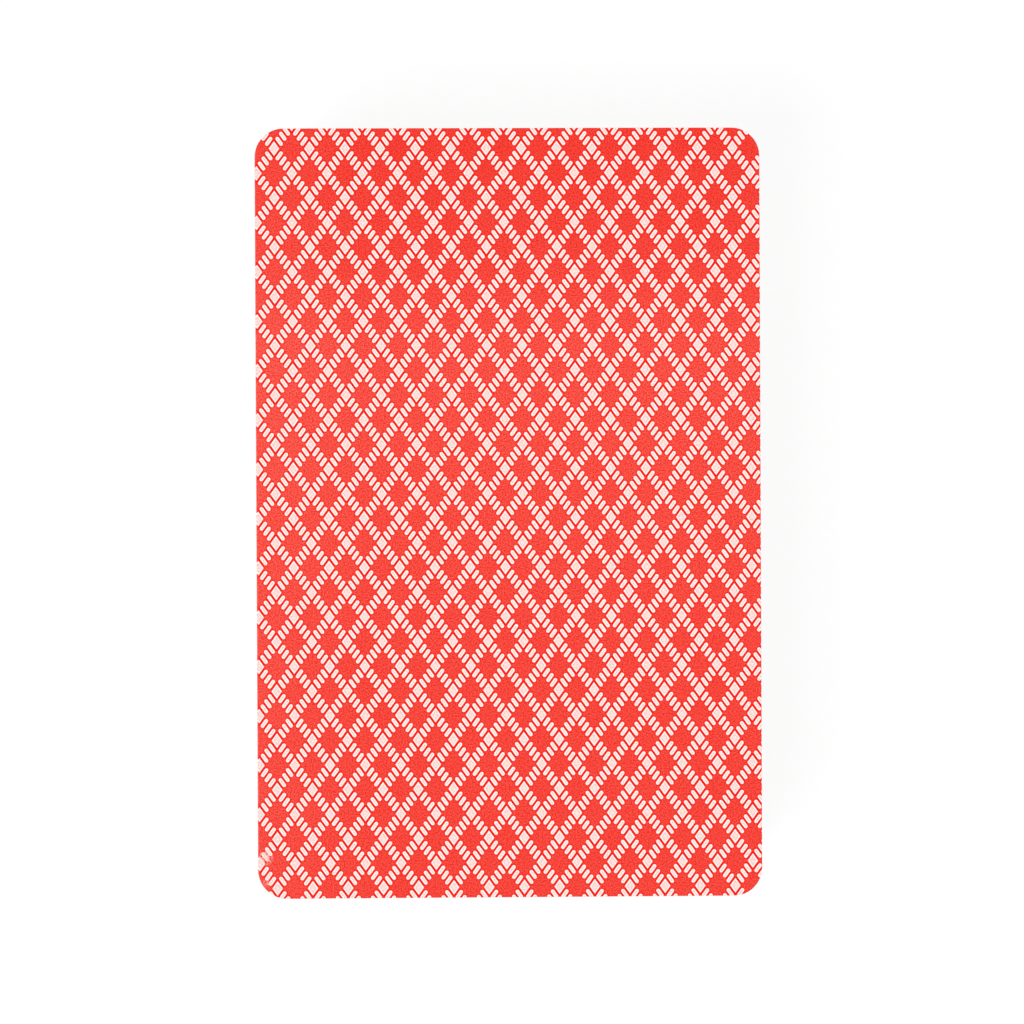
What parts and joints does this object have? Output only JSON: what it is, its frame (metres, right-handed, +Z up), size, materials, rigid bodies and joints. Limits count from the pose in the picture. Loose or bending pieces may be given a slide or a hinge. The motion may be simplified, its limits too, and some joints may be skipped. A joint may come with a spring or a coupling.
{
  "type": "playing card deck",
  "caption": "Squared pack of bridge-size playing cards lying face down, with red lattice backs and rounded corners; the cards fan out, cut and deal one by one.",
  "frame": {"origin": "on the table under the middle of the squared pack, at the face of its bottom card", "axes": "+X across the cards' short side, +Y along their long side to the picture's top, +Z up through the backs"},
  "size_m": [0.0572, 0.0872, 0.0162],
  "materials": {
    "printed_card": "satin"
  },
  "bodies": {
    "ace_of_spades": {"ace_of_spades": "printed_card"},
    "two_of_spades": {"two_of_spades": "printed_card"},
    "three_of_spades": {"three_of_spades": "printed_card"},
    "four_of_spades": {"four_of_spades": "printed_card"},
    "five_of_spades": {"five_of_spades": "printed_card"},
    "six_of_spades": {"six_of_spades": "printed_card"},
    "seven_of_spades": {"seven_of_spades": "printed_card"},
    "eight_of_spades": {"eight_of_spades": "printed_card"},
    "nine_of_spades": {"nine_of_spades": "printed_card"},
    "ten_of_spades": {"ten_of_spades": "printed_card"},
    "jack_of_spades": {"jack_of_spades": "printed_card"},
    "queen_of_spades": {"queen_of_spades": "printed_card"},
    "king_of_spades": {"king_of_spades": "printed_card"},
    "ace_of_diamonds": {"ace_of_diamonds": "printed_card"},
    "two_of_diamonds": {"two_of_diamonds": "printed_card"},
    "three_of_diamonds": {"three_of_diamonds": "printed_card"},
    "four_of_diamonds": {"four_of_diamonds": "printed_card"},
    "five_of_diamonds": {"five_of_diamonds": "printed_card"},
    "six_of_diamonds": {"six_of_diamonds": "printed_card"},
    "seven_of_diamonds": {"seven_of_diamonds": "printed_card"},
    "eight_of_diamonds": {"eight_of_diamonds": "printed_card"},
    "nine_of_diamonds": {"nine_of_diamonds": "printed_card"},
    "ten_of_diamonds": {"ten_of_diamonds": "printed_card"},
    "jack_of_diamonds": {"jack_of_diamonds": "printed_card"},
    "queen_of_diamonds": {"queen_of_diamonds": "printed_card"},
    "king_of_diamonds": {"king_of_diamonds": "printed_card"},
    "king_of_clubs": {"king_of_clubs": "printed_card"},
    "queen_of_clubs": {"queen_of_clubs": "printed_card"},
    "jack_of_clubs": {"jack_of_clubs": "printed_card"},
    "ten_of_clubs": {"ten_of_clubs": "printed_card"},
    "nine_of_clubs": {"nine_of_clubs": "printed_card"},
    "eight_of_clubs": {"eight_of_clubs": "printed_card"},
    "seven_of_clubs": {"seven_of_clubs": "printed_card"},
    "six_of_clubs": {"six_of_clubs": "printed_card"},
    "five_of_clubs": {"five_of_clubs": "printed_card"},
    "four_of_clubs": {"four_of_clubs": "printed_card"},
    "three_of_clubs": {"three_of_clubs": "printed_card"},
    "two_of_clubs": {"two_of_clubs": "printed_card"},
    "ace_of_clubs": {"ace_of_clubs": "printed_card"},
    "king_of_hearts": {"king_of_hearts": "printed_card"},
    "queen_of_hearts": {"queen_of_hearts": "printed_card"},
    "jack_of_hearts": {"jack_of_hearts": "printed_card"},
    "ten_of_hearts": {"ten_of_hearts": "printed_card"},
    "nine_of_hearts": {"nine_of_hearts": "printed_card"},
    "eight_of_hearts": {"eight_of_hearts": "printed_card"},
    "seven_of_hearts": {"seven_of_hearts": "printed_card"},
    "six_of_hearts": {"six_of_hearts": "printed_card"},
    "five_of_hearts": {"five_of_hearts": "printed_card"},
    "four_of_hearts": {"four_of_hearts": "printed_card"},
    "three_of_hearts": {"three_of_hearts": "printed_card"},
    "two_of_hearts": {"two_of_hearts": "printed_card"},
    "ace_of_hearts": {"ace_of_hearts": "printed_card"},
    "plain_joker": {"plain_joker": "printed_card"},
    "coloured_joker": {"coloured_joker": "printed_card"}
  },
  "joints": [
    {"name": "fan", "type": "hinge", "parent": "ace_of_spades", "child": "two_of_spades", "pos_m": [0.02535, -0.04029, 0.00044], "axis": [0, 0, -1], "range_deg": [0, 3]},
    {"name": "fan_three_of_spades", "type": "hinge", "parent": "two_of_spades", "child": "three_of_spades", "pos_m": [0.02527, -0.04026, 0.00075], "axis": [0, 0, -1], "range_deg": [0, 3]},
    {"name": "fan_four_of_spades", "type": "hinge", "parent": "three_of_spades", "child": "four_of_spades", "pos_m": [0.02538, -0.04024, 0.00104], "axis": [0, 0, -1], "range_deg": [0, 3]},
    {"name": "fan_five_of_spades", "type": "hinge", "parent": "four_of_spades", "child": "five_of_spades", "pos_m": [0.02534, -0.04034, 0.00135], "axis": [0, 0, -1], "range_deg": [0, 3]},
    {"name": "fan_six_of_spades", "type": "hinge", "parent": "five_of_spades", "child": "six_of_spades", "pos_m": [0.02533, -0.04025, 0.00164], "axis": [0, 0, -1], "range_deg": [0, 3]},
    {"name": "fan_seven_of_spades", "type": "hinge", "parent": "six_of_spades", "child": "seven_of_spades", "pos_m": [0.02541, -0.04033, 0.00194], "axis": [0, 0, -1], "range_deg": [0, 3]},
    {"name": "fan_eight_of_spades", "type": "hinge", "parent": "seven_of_spades", "child": "eight_of_spades", "pos_m": [0.02532, -0.04035, 0.00225], "axis": [0, 0, -1], "range_deg": [0, 3]},
    {"name": "fan_nine_of_spades", "type": "hinge", "parent": "eight_of_spades", "child": "nine_of_spades", "pos_m": [0.02538, -0.04029, 0.00254], "axis": [0, 0, -1], "range_deg": [0, 3]},
    {"name": "fan_ten_of_spades", "type": "hinge", "parent": "nine_of_spades", "child": "ten_of_spades", "pos_m": [0.02538, -0.0404, 0.00284], "axis": [0, 0, -1], "range_deg": [0, 3]},
    {"name": "fan_jack_of_spades", "type": "hinge", "parent": "ten_of_spades", "child": "jack_of_spades", "pos_m": [0.02531, -0.04033, 0.00314], "axis": [0, 0, -1], "range_deg": [0, 3]},
    {"name": "fan_queen_of_spades", "type": "hinge", "parent": "jack_of_spades", "child": "queen_of_spades", "pos_m": [0.0254, -0.04034, 0.00345], "axis": [0, 0, -1], "range_deg": [0, 3]},
    {"name": "fan_king_of_spades", "type": "hinge", "parent": "queen_of_spades", "child": "king_of_spades", "pos_m": [0.02532, -0.04041, 0.00375], "axis": [0, 0, -1], "range_deg": [0, 3]},
    {"name": "fan_ace_of_diamonds", "type": "hinge", "parent": "king_of_spades", "child": "ace_of_diamonds", "pos_m": [0.02532, -0.04031, 0.00404], "axis": [0, 0, -1], "range_deg": [0, 3]},
    {"name": "fan_two_of_diamonds", "type": "hinge", "parent": "ace_of_diamonds", "child": "two_of_diamonds", "pos_m": [0.02536, -0.0404, 0.00434], "axis": [0, 0, -1], "range_deg": [0, 3]},
    {"name": "fan_three_of_diamonds", "type": "hinge", "parent": "two_of_diamonds", "child": "three_of_diamonds", "pos_m": [0.02525, -0.04037, 0.00464], "axis": [0, 0, -1], "range_deg": [0, 3]},
    {"name": "fan_four_of_diamonds", "type": "hinge", "parent": "three_of_diamonds", "child": "four_of_diamonds", "pos_m": [0.02533, -0.04031, 0.00494], "axis": [0, 0, -1], "range_deg": [0, 3]},
    {"name": "fan_five_of_diamonds", "type": "hinge", "parent": "four_of_diamonds", "child": "five_of_diamonds", "pos_m": [0.02528, -0.0404, 0.00524], "axis": [0, 0, -1], "range_deg": [0, 3]},
    {"name": "fan_six_of_diamonds", "type": "hinge", "parent": "five_of_diamonds", "child": "six_of_diamonds", "pos_m": [0.02523, -0.0403, 0.00554], "axis": [0, 0, -1], "range_deg": [0, 3]},
    {"name": "fan_seven_of_diamonds", "type": "hinge", "parent": "six_of_diamonds", "child": "seven_of_diamonds", "pos_m": [0.02531, -0.04032, 0.00585], "axis": [0, 0, -1], "range_deg": [0, 3]},
    {"name": "fan_eight_of_diamonds", "type": "hinge", "parent": "seven_of_diamonds", "child": "eight_of_diamonds", "pos_m": [0.02521, -0.04034, 0.00615], "axis": [0, 0, -1], "range_deg": [0, 3]},
    {"name": "fan_nine_of_diamonds", "type": "hinge", "parent": "eight_of_diamonds", "child": "nine_of_diamonds", "pos_m": [0.02525, -0.04024, 0.00645], "axis": [0, 0, -1], "range_deg": [0, 3]},
    {"name": "fan_ten_of_diamonds", "type": "hinge", "parent": "nine_of_diamonds", "child": "ten_of_diamonds", "pos_m": [0.02527, -0.04033, 0.00675], "axis": [0, 0, -1], "range_deg": [0, 3]},
    {"name": "fan_jack_of_diamonds", "type": "hinge", "parent": "ten_of_diamonds", "child": "jack_of_diamonds", "pos_m": [0.02518, -0.04026, 0.00705], "axis": [0, 0, -1], "range_deg": [0, 3]},
    {"name": "fan_queen_of_diamonds", "type": "hinge", "parent": "jack_of_diamonds", "child": "queen_of_diamonds", "pos_m": [0.02528, -0.04023, 0.00734], "axis": [0, 0, -1], "range_deg": [0, 3]},
    {"name": "fan_king_of_diamonds", "type": "hinge", "parent": "queen_of_diamonds", "child": "king_of_diamonds", "pos_m": [0.02522, -0.0403, 0.00764], "axis": [0, 0, -1], "range_deg": [0, 3]},
    {"name": "fan_king_of_clubs", "type": "hinge", "parent": "king_of_diamonds", "child": "king_of_clubs", "pos_m": [0.02522, -0.04019, 0.00795], "axis": [0, 0, -1], "range_deg": [0, 3]},
    {"name": "fan_queen_of_clubs", "type": "hinge", "parent": "king_of_clubs", "child": "queen_of_clubs", "pos_m": [0.0253, -0.04026, 0.00825], "axis": [0, 0, -1], "range_deg": [0, 3]},
    {"name": "fan_jack_of_clubs", "type": "hinge", "parent": "queen_of_clubs", "child": "jack_of_clubs", "pos_m": [0.02521, -0.04025, 0.00855], "axis": [0, 0, -1], "range_deg": [0, 3]},
    {"name": "cut", "type": "slide", "parent": "jack_of_clubs", "child": "ten_of_clubs", "axis": [0, 1, 0], "range_m": [0, 0.042]},
    {"name": "fan_nine_of_clubs", "type": "hinge", "parent": "ten_of_clubs", "child": "nine_of_clubs", "pos_m": [0.0253, -0.04029, 0.00915], "axis": [0, 0, -1], "range_deg": [0, 3]},
    {"name": "fan_eight_of_clubs", "type": "hinge", "parent": "nine_of_clubs", "child": "eight_of_clubs", "pos_m": [0.02525, -0.04021, 0.00945], "axis": [0, 0, -1], "range_deg": [0, 3]},
    {"name": "fan_seven_of_clubs", "type": "hinge", "parent": "eight_of_clubs", "child": "seven_of_clubs", "pos_m": [0.02537, -0.04024, 0.00975], "axis": [0, 0, -1], "range_deg": [0, 3]},
    {"name": "fan_six_of_clubs", "type": "hinge", "parent": "seven_of_clubs", "child": "six_of_clubs", "pos_m": [0.02529, -0.0403, 0.01005], "axis": [0, 0, -1], "range_deg": [0, 3]},
    {"name": "fan_five_of_clubs", "type": "hinge", "parent": "six_of_clubs", "child": "five_of_clubs", "pos_m": [0.02533, -0.04022, 0.01035], "axis": [0, 0, -1], "range_deg": [0, 3]},
    {"name": "fan_four_of_clubs", "type": "hinge", "parent": "five_of_clubs", "child": "four_of_clubs", "pos_m": [0.02539, -0.04032, 0.01064], "axis": [0, 0, -1], "range_deg": [0, 3]},
    {"name": "fan_three_of_clubs", "type": "hinge", "parent": "four_of_clubs", "child": "three_of_clubs", "pos_m": [0.0253, -0.0403, 0.01094], "axis": [0, 0, -1], "range_deg": [0, 3]},
    {"name": "fan_two_of_clubs", "type": "hinge", "parent": "three_of_clubs", "child": "two_of_clubs", "pos_m": [0.0254, -0.04027, 0.01124], "axis": [0, 0, -1], "range_deg": [0, 3]},
    {"name": "fan_ace_of_clubs", "type": "hinge", "parent": "two_of_clubs", "child": "ace_of_clubs", "pos_m": [0.02536, -0.04038, 0.01154], "axis": [0, 0, -1], "range_deg": [0, 3]},
    {"name": "fan_king_of_hearts", "type": "hinge", "parent": "ace_of_clubs", "child": "king_of_hearts", "pos_m": [0.02533, -0.04029, 0.01184], "axis": [0, 0, -1], "range_deg": [0, 3]},
    {"name": "fan_queen_of_hearts", "type": "hinge", "parent": "king_of_hearts", "child": "queen_of_hearts", "pos_m": [0.02542, -0.04036, 0.01214], "axis": [0, 0, -1], "range_deg": [0, 3]},
    {"name": "fan_jack_of_hearts", "type": "hinge", "parent": "queen_of_hearts", "child": "jack_of_hearts", "pos_m": [0.02531, -0.04038, 0.01244], "axis": [0, 0, -1], "range_deg": [0, 3]},
    {"name": "fan_ten_of_hearts", "type": "hinge", "parent": "jack_of_hearts", "child": "ten_of_hearts", "pos_m": [0.02537, -0.04031, 0.01274], "axis": [0, 0, -1], "range_deg": [0, 3]},
    {"name": "fan_nine_of_hearts", "type": "hinge", "parent": "ten_of_hearts", "child": "nine_of_hearts", "pos_m": [0.02537, -0.04041, 0.01304], "axis": [0, 0, -1], "range_deg": [0, 3]},
    {"name": "fan_eight_of_hearts", "type": "hinge", "parent": "nine_of_hearts", "child": "eight_of_hearts", "pos_m": [0.02528, -0.04035, 0.01334], "axis": [0, 0, -1], "range_deg": [0, 3]},
    {"name": "fan_seven_of_hearts", "type": "hinge", "parent": "eight_of_hearts", "child": "seven_of_hearts", "pos_m": [0.02537, -0.04034, 0.01364], "axis": [0, 0, -1], "range_deg": [0, 3]},
    {"name": "fan_six_of_hearts", "type": "hinge", "parent": "seven_of_hearts", "child": "six_of_hearts", "pos_m": [0.02528, -0.04041, 0.01395], "axis": [0, 0, -1], "range_deg": [0, 3]},
    {"name": "fan_five_of_hearts", "type": "hinge", "parent": "six_of_hearts", "child": "five_of_hearts", "pos_m": [0.02528, -0.0403, 0.01425], "axis": [0, 0, -1], "range_deg": [0, 3]},
    {"name": "fan_four_of_hearts", "type": "hinge", "parent": "five_of_hearts", "child": "four_of_hearts", "pos_m": [0.02533, -0.04037, 0.01455], "axis": [0, 0, -1], "range_deg": [0, 3]},
    {"name": "fan_three_of_hearts", "type": "hinge", "parent": "four_of_hearts", "child": "three_of_hearts", "pos_m": [0.02522, -0.04035, 0.01485], "axis": [0, 0, -1], "range_deg": [0, 3]},
    {"name": "fan_two_of_hearts", "type": "hinge", "parent": "three_of_hearts", "child": "two_of_hearts", "pos_m": [0.02529, -0.04028, 0.01515], "axis": [0, 0, -1], "range_deg": [0, 3]},
    {"name": "fan_ace_of_hearts", "type": "hinge", "parent": "two_of_hearts", "child": "ace_of_hearts", "pos_m": [0.02525, -0.04036, 0.01545], "axis": [0, 0, -1], "range_deg": [0, 3]},
    {"name": "fan_plain_joker", "type": "hinge", "parent": "ace_of_hearts", "child": "plain_joker", "pos_m": [0.0252, -0.04026, 0.01574], "axis": [0, 0, -1], "range_deg": [0, 3]},
    {"name": "deal", "type": "slide", "parent": "plain_joker", "child": "coloured_joker", "axis": [1, 0, 0], "range_m": [0, 0.04]}
  ],
  "couplings": [
    {"joint": "fan_three_of_spades", "follows": "fan", "ratio": 1},
    {"joint": "fan_four_of_spades", "follows": "fan", "ratio": 1},
    {"joint": "fan_five_of_spades", "follows": "fan", "ratio": 1},
    {"joint": "fan_six_of_spades", "follows": "fan", "ratio": 1},
    {"joint": "fan_seven_of_spades", "follows": "fan", "ratio": 1},
    {"joint": "fan_eight_of_spades", "follows": "fan", "ratio": 1},
    {"joint": "fan_nine_of_spades", "follows": "fan", "ratio": 1},
    {"joint": "fan_ten_of_spades", "follows": "fan", "ratio": 1},
    {"joint": "fan_jack_of_spades", "follows": "fan", "ratio": 1},
    {"joint": "fan_queen_of_spades", "follows": "fan", "ratio": 1},
    {"joint": "fan_king_of_spades", "follows": "fan", "ratio": 1},
    {"joint": "fan_ace_of_diamonds", "follows": "fan", "ratio": 1},
    {"joint": "fan_two_of_diamonds", "follows": "fan", "ratio": 1},
    {"joint": "fan_three_of_diamonds", "follows": "fan", "ratio": 1},
    {"joint": "fan_four_of_diamonds", "follows": "fan", "ratio": 1},
    {"joint": "fan_five_of_diamonds", "follows": "fan", "ratio": 1},
    {"joint": "fan_six_of_diamonds", "follows": "fan", "ratio": 1},
    {"joint": "fan_seven_of_diamonds", "follows": "fan", "ratio": 1},
    {"joint": "fan_eight_of_diamonds", "follows": "fan", "ratio": 1},
    {"joint": "fan_nine_of_diamonds", "follows": "fan", "ratio": 1},
    {"joint": "fan_ten_of_diamonds", "follows": "fan", "ratio": 1},
    {"joint": "fan_jack_of_diamonds", "follows": "fan", "ratio": 1},
    {"joint": "fan_queen_of_diamonds", "follows": "fan", "ratio": 1},
    {"joint": "fan_king_of_diamonds", "follows": "fan", "ratio": 1},
    {"joint": "fan_king_of_clubs", "follows": "fan", "ratio": 1},
    {"joint": "fan_queen_of_clubs", "follows": "fan", "ratio": 1},
    {"joint": "fan_jack_of_clubs", "follows": "fan", "ratio": 1},
    {"joint": "fan_nine_of_clubs", "follows": "fan", "ratio": 1},
    {"joint": "fan_eight_of_clubs", "follows": "fan", "ratio": 1},
    {"joint": "fan_seven_of_clubs", "follows": "fan", "ratio": 1},
    {"joint": "fan_six_of_clubs", "follows": "fan", "ratio": 1},
    {"joint": "fan_five_of_clubs", "follows": "fan", "ratio": 1},
    {"joint": "fan_four_of_clubs", "follows": "fan", "ratio": 1},
    {"joint": "fan_three_of_clubs", "follows": "fan", "ratio": 1},
    {"joint": "fan_two_of_clubs", "follows": "fan", "ratio": 1},
    {"joint": "fan_ace_of_clubs", "follows": "fan", "ratio": 1},
    {"joint": "fan_king_of_hearts", "follows": "fan", "ratio": 1},
    {"joint": "fan_queen_of_hearts", "follows": "fan", "ratio": 1},
    {"joint": "fan_jack_of_hearts", "follows": "fan", "ratio": 1},
    {"joint": "fan_ten_of_hearts", "follows": "fan", "ratio": 1},
    {"joint": "fan_nine_of_hearts", "follows": "fan", "ratio": 1},
    {"joint": "fan_eight_of_hearts", "follows": "fan", "ratio": 1},
    {"joint": "fan_seven_of_hearts", "follows": "fan", "ratio": 1},
    {"joint": "fan_six_of_hearts", "follows": "fan", "ratio": 1},
    {"joint": "fan_five_of_hearts", "follows": "fan", "ratio": 1},
    {"joint": "fan_four_of_hearts", "follows": "fan", "ratio": 1},
    {"joint": "fan_three_of_hearts", "follows": "fan", "ratio": 1},
    {"joint": "fan_two_of_hearts", "follows": "fan", "ratio": 1},
    {"joint": "fan_ace_of_hearts", "follows": "fan", "ratio": 1},
    {"joint": "fan_plain_joker", "follows": "fan", "ratio": 1}
  ]
}
